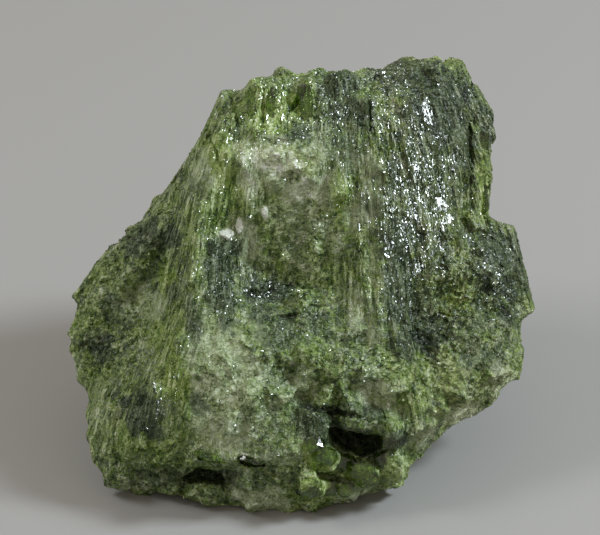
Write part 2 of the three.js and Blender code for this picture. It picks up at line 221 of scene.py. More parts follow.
BRIGHT = [
    (-3.2, 39.8, 3.2, 2.6, 0, 1.15),
    (0.6, 39.8, 1.1, 2.8, 0, 0.8),
    (-0.6, 34.6, 5.4, 1.4, -8, 0.55),
    (3.9, 30.6, 0.9, 3.4, 6, 0.7),
    (-7.4, 33.5, 1.6, 5.0, 14, 0.7),
    (-10.2, 25.0, 1.3, 6.0, 12, 0.4),
    (-13.0, 14.5, 1.5, 6.0, 22, 0.5),
    (-11.6, 18.5, 1.2, 3.0, 16, 0.5),
    (-12.4, 12.3, 1.5, 2.4, 18, 0.8),
    (-18.8, 5.3, 1.6, 1.2, 0, 0.4),
    (-13.3, 3.7, 1.8, 0.8, 0, 0.5),
    (-8.9, 5.0, 1.6, 0.4, -18, 1.0),
    (-5.5, 4.7, 1.3, 0.4, -20, 1.0),
    (-13.4, 22.8, 1.1, 2.2, 18, 0.9),
    (2.0, 4.8, 1.8, 1.8, 0, 1.0),
    (9.8, 3.6, 2.2, 2.6, 0, 0.7),
    (6.3, 3.5, 2.2, 1.4, 0, 0.8),
    (1.4, 2.0, 1.8, 1.3, 0, 0.9),
    (18.4, 31.5, 0.8, 4.0, 4, 0.8),
    (8.2, 12.0, 1.6, 2.0, 0, 0.4),
    (-1.8, 23.5, 0.8, 1.8, 0, 0.5),
]
# Dark patches are dark green stone, and painted shade where they darken the pocket, the recess above the
# pale bulge, the underside below the lip, and places that the right lamp lights strongly.
DARK_AND_PAINTED_SHADE = [
    (-3.4, 21.2, 3.0, 1.4, 0, 0.9),
    (9.6, 26.8, 1.5, 1.8, 0, 1.3),
    (-20.0, 15.5, 2.2, 2.0, 0, 1.0),
    (-19.0, 19.5, 1.6, 1.6, 0, 0.6),
    (-15.6, 26.6, 3.2, 2.0, 20, 0.9),
    (-12.6, 21.0, 0.8, 1.2, 0, 0.8),
    (-15.6, 9.1, 1.8, 2.4, 20, 1.3),
    (-10.2, 10.1, 1.1, 1.3, 0, 0.8),
    (12.0, 32.0, 5.0, 10.0, 4, 0.62),
    (17.5, 15.0, 2.4, 1.6, 0, 0.6),
    (12.0, 20.8, 2.8, 2.8, 0, 0.5),
    (9.8, 22.5, 1.7, 7.0, 2, 1.2),
    (2.5, 6.9, 1.1, 1.0, 0, 1.1),
    (20.2, 23.4, 4.0, 5.0, 0, 1.0),
    (15.5, 17.8, 3.2, 2.4, -10, 0.65),
    (10.6, 16.4, 2.4, 2.2, 0, 0.8),
    (17.1, 34.0, 0.6, 5.5, 4, 0.5),
    (13.6, 40.0, 4.0, 4.4, 0, 1.5),
    (18.8, 38.5, 1.2, 3.0, 0, 0.8),
    (5.4, 39.2, 2.8, 1.8, 0, 1.1),
    (17.0, 40.6, 1.6, 1.6, 0, 0.8),
    (0.0, 37.0, 1.5, 1.1, 0, 1.0),
    (4.4, 36.6, 1.6, 4.0, 0, 0.5),
    (3.9, 41.6, 2.4, 2.0, 0, 0.9),
    (-12.6, 2.8, 3.6, 1.3, 0, 0.7),
    (-8.8, 3.0, 3.2, 0.9, 0, 0.9),
    (1.8, 8.4, 2.8, 1.6, -10, 1.4),
    (9.8, 6.7, 1.2, 1.0, 0, 1.0),
    (7.0, 9.3, 1.5, 1.0, 0, 0.8),
    (-7.6, 20.4, 1.6, 3.2, 8, 1.1),
    (-5.0, 21.4, 1.4, 1.6, 0, 0.8),
    (-7.6, 25.6, 1.5, 1.2, 0, 1.2),
    (18.4, 19.4, 1.8, 1.2, 0, 0.5),
    (-7.4, 18.4, 1.6, 1.2, 0, 0.8),
    (8.9, 27.4, 0.9, 1.6, 0, 0.7),
    (4.5, 9.4, 1.5, 1.1, 0, 0.7),
    (12.3, 16.8, 2.1, 1.9, 0, 1.6),
    (-10.6, 18.2, 1.0, 2.4, 12, 0.75),
    (-3.4, 19.4, 2.4, 1.2, 0, 0.8),
    (-2.2, 16.8, 2.2, 1.2, 0, 0.7),
    (9.8, 32.4, 1.3, 3.6, 4, 0.8),
    (9.8, 36.8, 1.4, 1.4, 0, 0.8),
    (15.8, 36.4, 2.4, 3.2, 0, 0.9),
    (19.6, 14.6, 1.6, 1.6, 0, 0.5),
    (3.8, 7.2, 1.6, 1.2, -30, 1.2),
    (6.2, 6.4, 3.0, 1.6, -17, 1.0),
    (10.6, 42.9, 4.8, 1.9, 6, 1.2),
    (-12.9, 26.8, 1.0, 1.6, 20, 1.1),
    (-7.8, 23.9, 1.4, 1.4, 0, 1.0),
    (-2.0, 18.0, 1.2, 1.6, 0, 0.6),
    (1.5, 18.5, 1.5, 1.6, 0, 0.5),
]
# Where many tiny faces catch the light. Above a strength of 1 they are also better aligned.
SHEEN = [
    (12.2, 30.6, 3.4, 7.6, 14, 1.0),
    (8.8, 39.6, 3.4, 5.0, 10, 0.4),
    (14.4, 33.4, 1.6, 3.0, 8, 0.9),
    (9.5, 20.0, 1.6, 6.0, 4, 0.35),
    (12.6, 39.2, 0.45, 1.7, 8, 1.5),
    (14.2, 30.0, 0.6, 1.6, 10, 1.6),
    (14.6, 28.6, 1.1, 0.8, 0, 1.6),
    (8.5, 26.5, 0.22, 5.4, 3, 1.1),
    (10.8, 22.5, 0.22, 4.6, 3, 0.9),
    (13.2, 25.4, 2.4, 4.2, 0, 0.85),
    (-1.0, 39.4, 6.4, 3.6, 0, 0.35),
    (-1.0, 35.2, 5.2, 1.6, 0, 0.12),
    (19.4, 23.5, 3.0, 5.0, 0, 0.6),
    (-14.0, 10.0, 3.0, 7.0, 20, 0.35),
    (-2.6, 21.6, 3.6, 1.8, 0, 0.3),
    (4.0, 28.0, 4.0, 6.0, 0, 0.3),
]
# Narrow gaps: middle across and up, half sizes, turn in degrees and depth
GROOVES = [
    (-3.6, 39.6, 0.2, 3.2, -3, 0.28),
    (-1.2, 39.0, 0.16, 3.0, 0, 0.2),
    (0.0, 40.7, 0.24, 1.7, -32, 0.5),
    (-6.4, 38.8, 0.2, 3.0, 14, 0.2),
    (-8.6, 35.6, 0.18, 3.0, 22, 0.25),
    (6.9, 38.5, 0.2, 3.2, 0, 0.25),
    (17.1, 34.5, 0.24, 4.6, 2, 0.4),
    (-3.4, 21.4, 3.0, 0.5, 10, 0.3),
    (3.8, 9.4, 3.4, 0.34, -12, 0.5),
    (12.3, 16.8, 1.4, 0.7, -20, 0.5),
    (-1.6, 18.9, 2.0, 0.3, 8, 0.3),
]
# Granular areas, as the solid has them: middle across and up, and radius. Each fades over a share of it.
GRANULAR_EDGE = 0.4
GRANULAR = [
    (-20, 18, 7), (-17, 25, 4.5), (17, 20, 7), (17, 13, 7), (-2, 1, 7), (-12, 2, 7),
    (8, 1, 7), (13, 43.5, 3), (-5.5, 12, 7), (-1, 34.4, 3.6), (1, 21, 4), (0.5, 27.5, 5.5),
    (5, 12.5, 7),
]

# Clear crystals that stand in the surface: middle across and up, three half sizes, and turn in degrees
CLEAR = [
    (0.5, 39.8, 0.7, 2.0, 0.8, 4),
    (-4.7, 39.4, 0.45, 1.9, 0.5, 8),
    (-2.9, 39.4, 0.5, 2.1, 0.6, 0),
    (18.4, 30.6, 0.6, 1.7, 0.7, 4),
    (18.3, 36.4, 0.7, 0.9, 0.6, 0),
    (1.4, 6.3, 1.0, 0.8, 0.9, 20),
    (2.6, 5.2, 1.3, 1.0, 1.1, -25),
    (4.5, 4.3, 1.2, 0.9, 1.0, -20),
    (6.0, 3.7, 1.3, 1.0, 1.0, -15),
    (6.9, 2.6, 1.0, 0.8, 0.8, 10),
    (9.1, 6.6, 1.0, 0.9, 0.9, 0),
    (8.4, 4.6, 0.8, 0.9, 0.8, 20),
    (3.2, 1.9, 0.9, 0.7, 0.8, 15),
    (4.6, 1.6, 0.8, 0.7, 0.8, 10),
    (1.0, 1.8, 1.2, 0.8, 0.9, -10),
]
# The same in the mouths of the two cracks, and how far they are raised above the bottom of the crack
CRACK_CLEAR = [
    (-9.2, 5.2, 1.3, 0.45, 0.9, -18),
    (-5.0, 4.8, 1.5, 0.5, 0.9, -18),
]
CRACK_RAISE = 1.3
# The surface under a clear crystal is pale, so that the crystal is lit from below
UNDER_CLEAR = [(x, y, wide, tall, turn, 0.9) for x, y, wide, tall, deep, turn in CLEAR]
# A clear crystal is sunk by this share of its depth, and is looked for from this far in front of the face
CLEAR_SINK = 0.45
IN_FRONT = 30
# How far the tips and corners of a clear crystal reach, in half sizes, and the jitter of its tips
CLEAR_TIP = 1.05
CLEAR_CORNER = (0.55, 1.0)
CLEAR_JITTER = 0.3
CLEAR_LOWEST = 0.05

# Numbers that mix a cell's place, a seed and a step into the 32 bits of a random number
MIX_CELL = np.array([73856093, 19349663, 83492791])
MIX_SEED = 2654435761
MIX_STEP = 974634777
MIX_BITS = 0x45D9F3B
ALL_BITS = 0xFFFFFFFF


def smoothstep(low, high, value):
    """A smooth rise from 0 at low to 1 at high."""
    share = np.clip((value - low) / (high - low), 0, 1)
    return share * share * (3 - 2 * share)


def on_face(points):
    """Across, up and out of the front face, for points in millimetres."""
    moved = points - SHIFT
    up = moved @ SQUARE_UP
    return np.stack([moved @ ACROSS, up, moved @ OUT - STEEPER * up], axis=1)


def fan(points):
    """Coordinates that follow the columns: two across them and one along them."""
    across, up, out = on_face(points).T
    beside = across - FAN_ACROSS
    drop = FAN_TOP - up
    along = np.sqrt(beside**2 + drop**2 + out**2)
    return np.stack([FAN_REACH * np.arctan2(beside, drop), FAN_REACH * np.arctan2(out, drop), along], axis=1)


def column_axis(points):
    """The direction of the columns at each point, downwards."""
    apex = FAN_ACROSS * ACROSS + FAN_TOP * UP + SHIFT
    axis = points - apex
    return axis / np.linalg.norm(axis, axis=1, keepdims=True)


def hashed(cells, seed, count=1):
    """Repeatable random numbers from 0 to 1 for whole-number cells."""
    keys = cells.astype(np.int64) * MIX_CELL
    mixed = keys[:, 0] ^ keys[:, 1] ^ keys[:, 2] ^ seed * MIX_SEED
    columns = []
    for step in range(count):
        value = (mixed + step * MIX_STEP) & ALL_BITS
        for _ in range(2):
            value = ((value ^ (value >> 16)) * MIX_BITS) & ALL_BITS
        columns.append((value ^ (value >> 16)) / (ALL_BITS + 1))
    return np.stack(columns, axis=1)


def noise(points, seed):
    """Smooth noise from -1 to 1."""
    base = np.floor(points)
    part = points - base
    part = part * part * (3 - 2 * part)
    total = np.zeros(len(points))
    for corner in np.ndindex(2, 2, 2):
        weight = np.prod(np.where(corner, part, 1 - part), axis=1)
        total += weight * hashed(base + corner, seed)[:, 0]
    return 2 * total - 1


def layered(points, layers):
    """The sum of layers of smooth noise."""
    return sum(strength * noise(points * np.array(waves), seed) for strength, waves, seed in layers)


def nearest_cells(points, seed):
    """A scattered cell pattern: offset from the cell's middle, its random numbers, nearness to its edge."""
    base = np.floor(points)
    best = np.full(len(points), np.inf)
    second = np.full(len(points), np.inf)
    offset = np.zeros_like(points)
    chosen = np.zeros_like(points)
    for step in np.ndindex(3, 3, 3):
        cell = base + np.array(step) - 1
        gap = points - cell - hashed(cell, seed, 3)
        distance = np.einsum("ij,ij->i", gap, gap)
        closer = distance < best
        second = np.where(closer, best, np.minimum(second, distance))
        best[closer] = distance[closer]
        offset[closer] = gap[closer]
        chosen[closer] = cell[closer]
    return offset, hashed(chosen, seed + 1, 4), np.sqrt(second) - np.sqrt(best)


def on_front(points, places, ragged, moved, edge):
    """The strongest of some ellipses on the front face, at each point. Each fades over its ragged edge."""
    across, up, out = on_face(points).T
    most = np.zeros(len(points))
    for x, y, wide, tall, turn, strength in places:
        angle = math.radians(turn)
        dx = across - x + moved
        dy = up - y + moved
        along = (dx * math.cos(angle) + dy * math.sin(angle)) / wide
        upright = (dy * math.cos(angle) - dx * math.sin(angle)) / tall
        most = np.maximum(most, strength * smoothstep(*edge, np.hypot(along, upright) + ragged))
    return most * smoothstep(*FACE_FADE, out)


def patches(points, places):
    """How strongly each point lies in any of the patches."""
    return on_front(points, places, layered(points, PATCH_RAGS), 0.0, PATCH_EDGE)


def grooves(points):
    """Depth of the narrow gaps on the front face, which also waver."""
    ragged = layered(points, GROOVE_RAGS)
    return on_front(points, GROOVES, ragged, GROOVE_WAVER * ragged, GROOVE_EDGE)


def granular(points):
    """How granular each point is, from 0 for plain columns to 1."""
    across, up, _ = on_face(points).T
    shares = [1 - np.hypot(across - x, up - y) / radius for x, y, radius in GRANULAR]
    return smoothstep(0.0, GRANULAR_EDGE, np.max(shares, axis=0))


def looks_at(points, chip, height):
    """What the material reads at each point: fan coordinates, patches, grain and height of the relief."""
    zones = [patches(points, places) for places in (PALE_AND_PAINTED_LIGHT + UNDER_CLEAR, BRIGHT, DARK_AND_PAINTED_SHADE, SHEEN)]
    return {
        "fan": fan(points),
        "zones": np.stack(zones, axis=1),
        "grainy": granular(points)[:, None],
        "chip": chip[:, None],
        "height": height[:, None],
    }


def new_object(name, data):
    """An object in the scene that holds this data."""
    thing = bpy.data.objects.new(name, data)
    bpy.context.scene.collection.objects.link(thing)
    return thing


def mesh_object(name, points, faces, attributes):
    """A flat-shaded object from points in millimetres, faces, and values for each point."""
    mesh = bpy.data.meshes.new(name)
    mesh.vertices.add(len(points))
    mesh.vertices.foreach_set("co", (points * MM).astype(np.float32).ravel())
    mesh.loops.add(faces.size)
    mesh.loops.foreach_set("vertex_index", faces.astype(np.int32).ravel())
    mesh.polygons.add(len(faces))
    mesh.polygons.foreach_set("loop_start", np.arange(0, faces.size, faces.shape[1], dtype=np.int32))
    mesh.polygons.foreach_set("use_smooth", np.zeros(len(faces), dtype=bool))
    mesh.update(calc_edges=True)
    add_attributes(mesh, attributes)
    return new_object(name, mesh)


def add_attributes(mesh, attributes):
    """Keep the values for each point on the mesh, where the material reads them."""
    kinds = {1: ("FLOAT", "value"), 3: ("FLOAT_VECTOR", "vector"), 4: ("FLOAT_COLOR", "color")}
    for name, values in attributes.items():
        kind, field = kinds[values.shape[1]]
        layer = mesh.attributes.new(name, kind, "POINT")
        layer.data.foreach_set(field, values.astype(np.float32).ravel())


def vertices_of(mesh):
    points = np.zeros(len(mesh.vertices) * 3, np.float32)
    mesh.vertices.foreach_get("co", points)
    return points.reshape(-1, 3).astype(float) / MM


def normals_of(mesh):
    normals = np.zeros(len(mesh.vertices) * 3, np.float32)
    mesh.vertex_normals.foreach_get("vector", normals)
    return normals.reshape(-1, 3).astype(float)


def quads_of(mesh):
    quads = np.zeros(len(mesh.polygons) * 4, np.int32)
    mesh.polygons.foreach_get("vertices", quads)
    return quads.reshape(-1, 4)


def remeshed(node):
    """The solid's surface as an even fine mesh of quads: its points, normals and quads."""
    copy = node.copy()
    copy.data = node.data.copy()
    bpy.context.scene.collection.objects.link(copy)
    remesh = copy.modifiers.new("remesh", "REMESH")
    remesh.mode = "VOXEL"
    remesh.voxel_size = SKIN_VOXEL * MM
    graph = bpy.context.evaluated_depsgraph_get()
    mesh = bpy.data.meshes.new_from_object(copy.evaluated_get(graph))
    bpy.data.objects.remove(copy)
    surface = vertices_of(mesh), normals_of(mesh), quads_of(mesh)
    bpy.data.meshes.remove(mesh)
    return surface


def eased(points, quads, steps):
    """The points, each moved half way to the mean of its neighbours, several times."""
    ends = np.concatenate([quads[:, [0, 1]], quads[:, [1, 2]], quads[:, [2, 3]], quads[:, [3, 0]]])
    count = np.bincount(ends[:, 0], minlength=len(points))[:, None]
    for _ in range(steps):
        sums = [np.bincount(ends[:, 0], points[ends[:, 1], i], len(points)) for i in range(3)]
        points = 0.5 * points + 0.5 * np.stack(sums, axis=1) / count
    return points


def warped_cells(points, warp, pattern):
    """The nearest cells of a pattern that is bent by the warp."""
    cells, bend, seed = pattern
    return nearest_cells(points * np.array(cells) + bend * warp, seed)


def tilted(cell, face):
    """Height of a cell's own flat face: each cell has its own slope and level."""
    offset, chance, _ = cell
    height, slope = face
    return height * ((offset * (chance[:, :3] - 0.5)).sum(axis=1) * slope + chance[:, 3] - 0.5)


def relief(points, grainy):
    """Height of the fine relief, and the number of the grain or sliver that each point lies in."""
    lanes = fan(points)
    warp = np.stack([noise(points * WARP_WAVES, seed) for seed in WARP_SEEDS], axis=1)
    strips, slivers = (warped_cells(lanes, warp, pattern) for pattern in (STRIPS, SLIVERS))
    lumps, grains, crumbs = (warped_cells(points, warp, pattern) for pattern in (LUMPS, GRAINS, CRUMBS))
    gaps = smoothstep(GAP_WIDTH, 0.0, strips[2]) * (strips[1][:, 0] > 1 - GAP_SHARE)
    flutes = FLUTE_HEIGHT * layered(lanes, FLUTES)
    columnar = flutes + tilted(strips, STRIP_FACE) + tilted(slivers, SLIVER_FACE) - GAP_DEPTH * gaps
    broken = tilted(lumps, LUMP_FACE) + tilted(grains, GRAIN_FACE) + layered(points, SWELLS)
    height = (1 - grainy) * (columnar + tilted(grains, FAINT_GRAIN_FACE)) + grainy * broken
    height += tilted(crumbs, CRUMB_FACE)
    chalk = patches(points, PALE_AND_PAINTED_LIGHT)
    height *= 1 - CHALK_EVENS * np.minimum(chalk, 1)
    height += WHITE_HEIGHT * smoothstep(*WHITE_GRAINS, chalk)
    height -= grooves(points)
    number = np.where(grainy > 0.5, grains[1][:, 2], slivers[1][:, 2])
    return height, number


def skin(node):
    """The stone's surface: fine flutes along the columns, and small broken faces where it is granular."""
    points, normals, quads = remeshed(node)
    grainy = granular(points)
    resting = (points[:, 2] < RESTING)[:, None]
    rough = eased(points, quads, GRAIN_EASE)
    even = eased(rough, quads, COLUMN_EASE - GRAIN_EASE)
    points = np.where(resting, points, grainy[:, None] * rough + (1 - grainy[:, None]) * even)
    broad = eased(even, quads, BROAD_EASE)
    bulge = ((points - broad) * normals).sum(axis=1)
    height, number = relief(points, grainy)
    grounded = smoothstep(0.0, FULL_RELIEF, points[:, 2])
    points += normals * ((height - SKIN_SINK) * grounded)[:, None]
    points[:, 2] = np.maximum(points[:, 2], 0)
    # The colour goes by the relief's height and by how far each point stands out from the broad form:
    # painted shade, darker in hollows.
    return points, quads, looks_at(points, number, np.clip(0.5 + height + 0.5 * bulge, 0, 1))


def skin_pieces(points, quads, looks):
    """The surface in four quarters that meet exactly, so that none has too many faces."""
    middle = points[quads].mean(axis=1)
    centre = np.median(middle, axis=0)
    right = middle[:, 0] > centre[0]
    back = middle[:, 1] > centre[1]
    pieces = []
    for name, chosen in [
        ("surface_front_left", ~right & ~back),
        ("surface_front_right", right & ~back),
        ("surface_back_left", ~right & back),
        ("surface_back_right", right & back),
    ]:
        used, faces = np.unique(quads[chosen], return_inverse=True)
        own = {key: values[used] for key, values in looks.items()}
        pieces.append(mesh_object(name, points[used], faces.reshape(-1, 4), own))
    return pieces


BOX_CORNERS = np.array([(x, y, z) for z in (-0.5, 0.5) for y in (-0.5, 0.5) for x in (-0.5, 0.5)])
BOX_FACES = np.array([
    (0, 2, 3), (0, 3, 1), (4, 5, 7), (4, 7, 6), (0, 1, 5), (0, 5, 4),
    (2, 6, 7), (2, 7, 3), (0, 4, 6), (0, 6, 2), (1, 3, 7), (1, 7, 5),
])


def chunk(middle, half_sizes, turn, random):
    """Points whose hull is a chunk with flat faces: the corners and tips of a jittered box."""
    angle = math.radians(turn)
    side = math.cos(angle) * ACROSS + math.sin(angle) * SQUARE_UP
    rise = math.cos(angle) * SQUARE_UP - math.sin(angle) * ACROSS
    spots = 2 * BOX_CORNERS * random.uniform(*CLEAR_CORNER, BOX_CORNERS.shape)
    tips = np.repeat(np.eye(3), 2, axis=0) * np.tile([[CLEAR_TIP], [-CLEAR_TIP]], (3, 1))
    spots = np.concatenate([spots, tips + random.uniform(-CLEAR_JITTER, CLEAR_JITTER, tips.shape)])
    corners = middle + spots * half_sizes @ np.stack([side, rise, OUT])
    corners[:, 2] = np.maximum(corners[:, 2], CLEAR_LOWEST)
    return corners


def clear_crystals(points, quads):
    """Clear crystals: chunks with flat faces that are half sunk in the surface."""
    random = np.random.default_rng(SEED + 2)
    tree = BVHTree.FromPolygons([Vector(p) for p in points], quads.tolist())
    shape = bmesh.new()
    raises = [0.0] * len(CLEAR) + [CRACK_RAISE] * len(CRACK_CLEAR)
    for (across, up, wide, tall, deep, turn), lift in zip(CLEAR + CRACK_CLEAR, raises):
        above = across * ACROSS + up * UP + IN_FRONT * OUT + SHIFT
        hit = tree.ray_cast(Vector(above), Vector(-OUT))[0]
        middle = np.array(hit) + (lift - CLEAR_SINK * deep) * OUT
        corners = chunk(middle, [wide, tall, deep], turn, random)
        made = [shape.verts.new(corner * MM) for corner in corners]
        hull = bmesh.ops.convex_hull(shape, input=made)
        unused = hull["geom_interior"] + hull["geom_unused"]
        loose = {part for part in unused if isinstance(part, bmesh.types.BMVert)}
        bmesh.ops.delete(shape, geom=list(loose), context="VERTS")
    mesh = bpy.data.meshes.new("clear_crystals")
    shape.to_mesh(mesh)
    shape.free()
    return new_object("clear_crystals", mesh)


def surface_samples(points, faces, count, weight, random):
    """Random places on a surface, and the normals of the triangles that they lie in."""
    a, b, c = (points[faces[:, i]] for i in range(3))
    cross = np.cross(b - a, c - a)
    area = np.linalg.norm(cross, axis=1) / 2
    share = area * weight((a + b + c) / 3, cross / np.maximum(2 * area, TINY)[:, None])
    chosen = random.choice(len(faces), count, p=share / share.sum())
    s = np.sqrt(random.random(count))[:, None]
    t = random.random(count)[:, None]
    place = (1 - s) * a[chosen] + s * (1 - t) * b[chosen] + s * t * c[chosen]
    normal = cross[chosen] / np.maximum(2 * area[chosen], TINY)[:, None]
    return place, normal


def unit(vectors):
    return vectors / np.maximum(np.linalg.norm(vectors, axis=1, keepdims=True), TINY)


def placed(template, faces, place, basis):
    """Copies of a template: its corners turned by each basis and moved to each place."""
    corners = np.einsum("nij,nkj->nki", basis, template) + place[:, None, :]
    steps = np.arange(len(place))[:, None, None] * template.shape[1]
    return corners.reshape(-1, 3), (faces[None] + steps).reshape(-1, 3)


def clings(points, faces, place, half):
    """Whether both ends of each crystal lie close to the surface."""
    tree = BVHTree.FromPolygons([Vector(p) for p in points], faces.tolist())
    near = np.ones(len(place), dtype=bool)
    for sign in (-1, 1):
        ends = place + sign * half
        gaps = [tree.find_nearest(Vector(end))[3] for end in ends]
        near &= np.array(gaps) < STAND_OFF
    return near


def crystal_directions(place, normal, random):
    """Whether each crystal is a short one, and its three directions: sideways, along and outwards."""
    count = len(place)
    axis = column_axis(place)
    edgeways = np.abs((axis * normal).sum(axis=1)) > CUTS_ACROSS
    edgeways |= np.abs(normal @ OUT) < TURNS_AWAY
    short = edgeways | (random.random(count) < granular(place))
    axis = axis + random.normal(0, OUT_OF_LINE, (count, 3))
    axis = np.where(short[:, None], random.normal(0, 1, (count, 3)), axis)
    tilt = np.where(short, SHORT_TILT, 0.0)[:, None]
    along = unit(axis - normal * (axis * normal).sum(axis=1, keepdims=True) * (1 - tilt))
    side = unit(np.cross(along, unit(normal + random.normal(0, ROLL, (count, 3)))))
    return short, side, along, np.cross(side, along)


def crystal_sizes(size, short, random):
    """Width, length and depth of each crystal. The short ones are stubby."""
    count = len(short)
    usual_width, usual_length = size
    spread = np.exp(random.normal(0, SIZES_DIFFER, count))
    width = usual_width * spread * np.where(short, SHORT_WIDER, 1.0)
    length = np.where(short, width * random.uniform(*SHORT_LENGTH, count), usual_length * spread)
    depth = width * random.uniform(*DEPTH, count)
    return width, length, depth


def jittered_boxes(count, random):
    """Boxes of size 1 with their corners out of place, narrower at their outer face."""
    boxes = np.repeat(BOX_CORNERS[None], count, axis=0)
    boxes += random.uniform(-CORNER_JITTER, CORNER_JITTER, boxes.shape)
    boxes[:, 4:, :2] *= random.uniform(*OUTER_FACE, (count, 1, 1))
    return boxes


def crystals(name, surface, count, weight, size, seed):
    """A scatter of small crystals: long ones lie along the columns, short ones lie at any angle."""
    random = np.random.default_rng(seed)
    points, faces = surface
    place, normal = surface_samples(points, faces, count, weight, random)
    short, side, along, face = crystal_directions(place, normal, random)
    width, length, depth = crystal_sizes(size, short, random)
    boxes = jittered_boxes(count, random)
    basis = np.stack([side * width[:, None], along * length[:, None], face * depth[:, None]], axis=2)
    sink = depth * np.where(short, random.uniform(*SHORT_SINK, count), random.uniform(*LONG_SINK, count))
    corners, triangles = placed(boxes, BOX_FACES, place - face * sink[:, None], basis)
    corners = np.clip(corners, np.array(cad_low) / MM, np.array(cad_high) / MM)
    looks = looks_at(place, random.random(count), random.uniform(*CRYSTAL_HEIGHT, count))
    seated = clings(points, faces, place, along * length[:, None] / 2)
    corners = corners.reshape(boxes.shape)[seated].reshape(-1, 3)
    triangles = triangles[: len(BOX_FACES) * seated.sum()]
    looks = {key: np.repeat(values[seated], len(BOX_CORNERS), axis=0) for key, values in looks.items()}
    return mesh_object(name, corners, triangles, looks)


class Graph:
    """Short names for making shader nodes."""

    def __init__(self, name):
        self.material = bpy.data.materials.new(name)
        self.material.use_nodes = True
        self.tree = self.material.node_tree
        self.shader = self.tree.nodes["Principled BSDF"]

    def put(self, socket, value):
        if isinstance(value, bpy.types.NodeSocket):
            self.tree.links.new(value, socket)
        else:
            socket.default_value = value

    def node(self, kind, inputs, **settings):
        made = self.tree.nodes.new(kind)
        for key, value in settings.items():
            setattr(made, key, value)
        for key, value in inputs.items():
            self.put(made.inputs[key], value)
        return made

    def attribute(self, name, output="Fac"):
        return self.node("ShaderNodeAttribute", {}, attribute_name=name).outputs[output]

    def place(self):
        return self.node("ShaderNodeTexCoord", {}).outputs["Object"]

    def normal(self):
        return self.node("ShaderNodeNewGeometry", {}).outputs["Normal"]

    def math(self, operation, a, b):
        return self.node("ShaderNodeMath", {0: a, 1: b}, operation=operation).outputs[0]

    def add(self, a, b):
        return self.math("ADD", a, b)

    def less(self, a, b):
        return self.math("SUBTRACT", a, b)

    def times(self, a, b):
        return self.math("MULTIPLY", a, b)

    def total(self, terms):
        """The sum of values, each times its own weight."""
        made = None
        for value, weight in terms:
            part = self.times(value, weight)
            made = part if made is None else self.add(made, part)
        return made

    def up_to_one(self, value):
        return self.math("MINIMUM", value, 1.0)

    def above_one(self, value):
        return self.math("MAXIMUM", self.less(value, 1.0), 0.0)

    def span(self, value, low, high):
        """A smooth rise from 0 at low to 1 at high."""
        inputs = {"Value": value, "From Min": low, "From Max": high}
        return self.node("ShaderNodeMapRange", inputs, interpolation_type="SMOOTHSTEP").outputs["Result"]

    def vector(self, operation, a, b):
        return self.node("ShaderNodeVectorMath", {0: a, 1: b}, operation=operation).outputs["Vector"]

    def scaled(self, vector, scale):
        return self.vector("MULTIPLY", vector, scale)

    def centred(self, colour):
        """A colour as a vector with its middle at zero."""
        return self.vector("SUBTRACT", colour, (0.5, 0.5, 0.5))

    def tipped(self, normal, colour, amount):
        """The normal, tipped by the colour of the cell that the point lies in."""
        return self.vector("ADD", normal, self.scaled(self.centred(colour), (amount, amount, amount)))

    def unit(self, vector):
        made = self.node("ShaderNodeVectorMath", {0: vector}, operation="NORMALIZE")
        return made.outputs["Vector"]

    def noise(self, vector, scale, detail, roughness=0.6):
        inputs = {"Vector": vector, "Scale": scale, "Detail": detail, "Roughness": roughness}
        return self.node("ShaderNodeTexNoise", inputs).outputs["Fac"]

    def cells(self, vector, scale):
        return self.node("ShaderNodeTexVoronoi", {"Vector": vector, "Scale": scale}).outputs["Color"]

    def channels(self, colour):
        return self.node("ShaderNodeSeparateColor", {"Color": colour}).outputs

    def ramp(self, value, stops):
        made = self.node("ShaderNodeValToRGB", {"Fac": value})
        elements = made.color_ramp.elements
        while len(elements) < len(stops):
            elements.new(0.5)
        for element, (position, colour) in zip(elements, stops):
            element.position = position
            element.color = (*colour, 1)
        return made.outputs["Color"]

    def mixed(self, share, a, b, kind, end):
        """A mix from a to b. The names of a Mix node's sockets end in the kind of value that it mixes."""
        made = self.node("ShaderNodeMix", {}, data_type=kind)
        sockets = {socket.identifier: socket for socket in [*made.inputs, *made.outputs]}
        self.put(sockets["Factor_Float"], share)
        self.put(sockets["A_" + end], a)
        self.put(sockets["B_" + end], b)
        return sockets["Result_" + end]

    def blend(self, share, a, b):
        return self.mixed(share, a, b, "RGBA", "Color")

    def blend_value(self, share, a, b):
        return self.mixed(share, a, b, "FLOAT", "Float")

    def blend_vector(self, share, a, b):
        gap = self.vector("SUBTRACT", b, a)
        part = self.node("ShaderNodeVectorMath", {0: gap, 3: share}, operation="SCALE").outputs["Vector"]
        return self.vector("ADD", a, part)


DIOPSIDE_IOR = 1.68
DIOPSIDE_GLOSS = 0.32
# The direction that many cleavage faces of the crystals share
CLEAVAGE = (0.455, -0.519, 0.724)

# Noise over the stone: waves in a metre, detail and roughness
BLOTCH = (330.0, 3.0, 0.55)
MOTTLE = (1150.0, 4.0, 0.65)
SPECK = (3600.0, 2.0, 0.6)
SUGAR = (7500.0, 1.0, 0.5)
PITS = (2300.0, 2.0, 0.6)
WEAR = (1500.0, 2.0)
# Noise that follows the columns: waves in a millimetre across twice and along, detail and roughness
STREAK = ((2.4, 2.4, 0.3), 5.0, 0.7)
THREADS = ((7.0, 7.0, 1.5), 2.0, 0.6)
CLEFTS = ((4.5, 4.5, 1.2), 2.0, 0.6)
BANDS = ((1.3, 1.3, 0.12), 3.0, 0.6)
# Tiny faces: cells in a metre over the stone, and in a millimetre where they follow the columns
FACING = 2600.0
FACING_FINE = 6400.0
STRANDS = (3.6, 3.6, 0.6)
SPARKS = (10.0, 10.0, 6.0)
# How far the faces and the finer faces tip the surface
TIP = 0.42
TIP_FINE = 0.62

